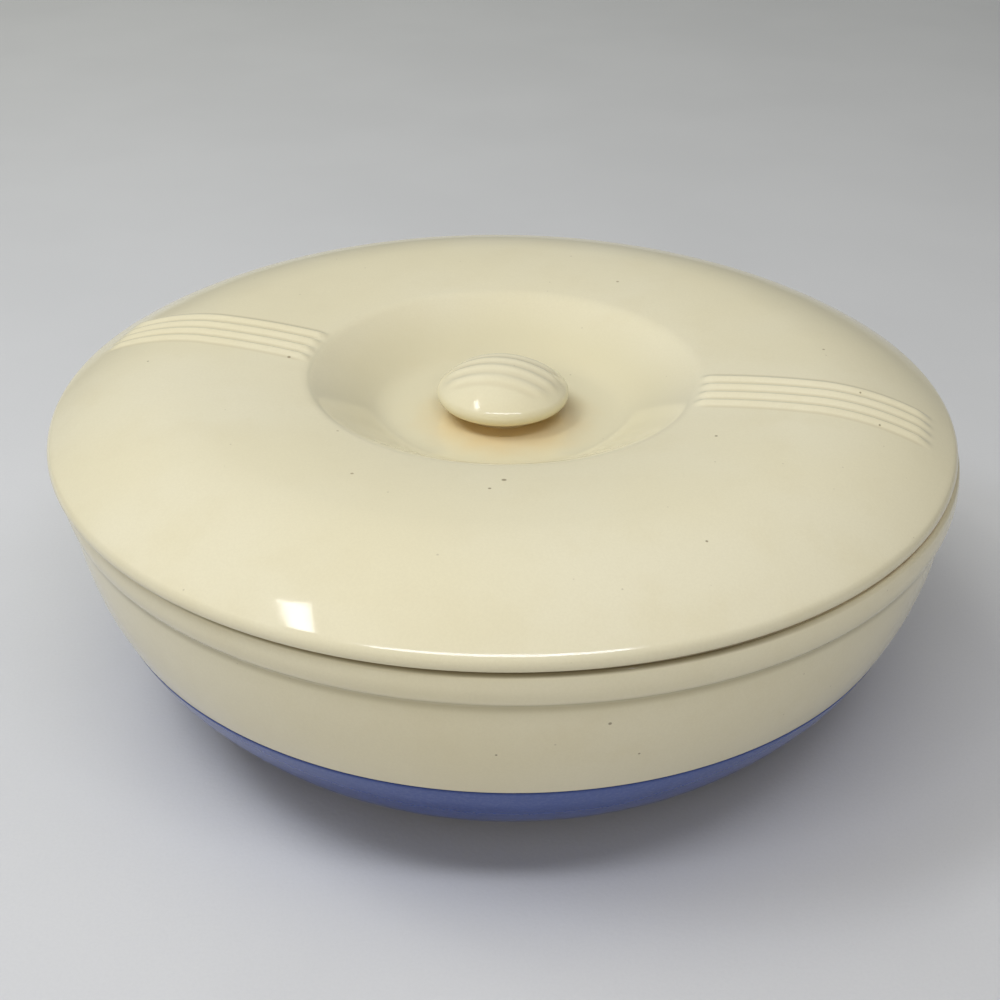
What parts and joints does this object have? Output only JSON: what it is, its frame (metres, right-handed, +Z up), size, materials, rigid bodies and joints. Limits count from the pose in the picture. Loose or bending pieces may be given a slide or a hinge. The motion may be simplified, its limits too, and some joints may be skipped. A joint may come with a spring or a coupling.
{
  "type": "lidded tortilla warmer",
  "caption": "Round low ceramic bowl with a blue-dipped base and a loose domed lid that has a sunk well, a mushroom knob and bands of raised ribs; keeps tortillas warm.",
  "frame": {"origin": "centre of the foot ring's resting face, on the table", "axes": "+Z up, along the bowl's axis; the loose lid and its knob lie 1.8 mm to -X of that axis; the ribbed band runs 13.5 degrees clockwise of +X, seen from above"},
  "size_m": [0.2555, 0.254, 0.0937],
  "materials": {
    "cream_glaze": "glossy cream glaze",
    "blue_glaze": "glossy periwinkle blue glaze"
  },
  "bodies": {
    "bowl_body": {"bowl": "cream_glaze", "blue_glaze_coat": "blue_glaze"},
    "lid_body": {"lid": "cream_glaze", "knob": "cream_glaze"}
  },
  "joints": [
    {"name": "lid_lift", "type": "slide", "parent": "bowl_body", "child": "lid_body", "axis": [0, 0, 1], "range_m": [0, 0.12]}
  ]
}
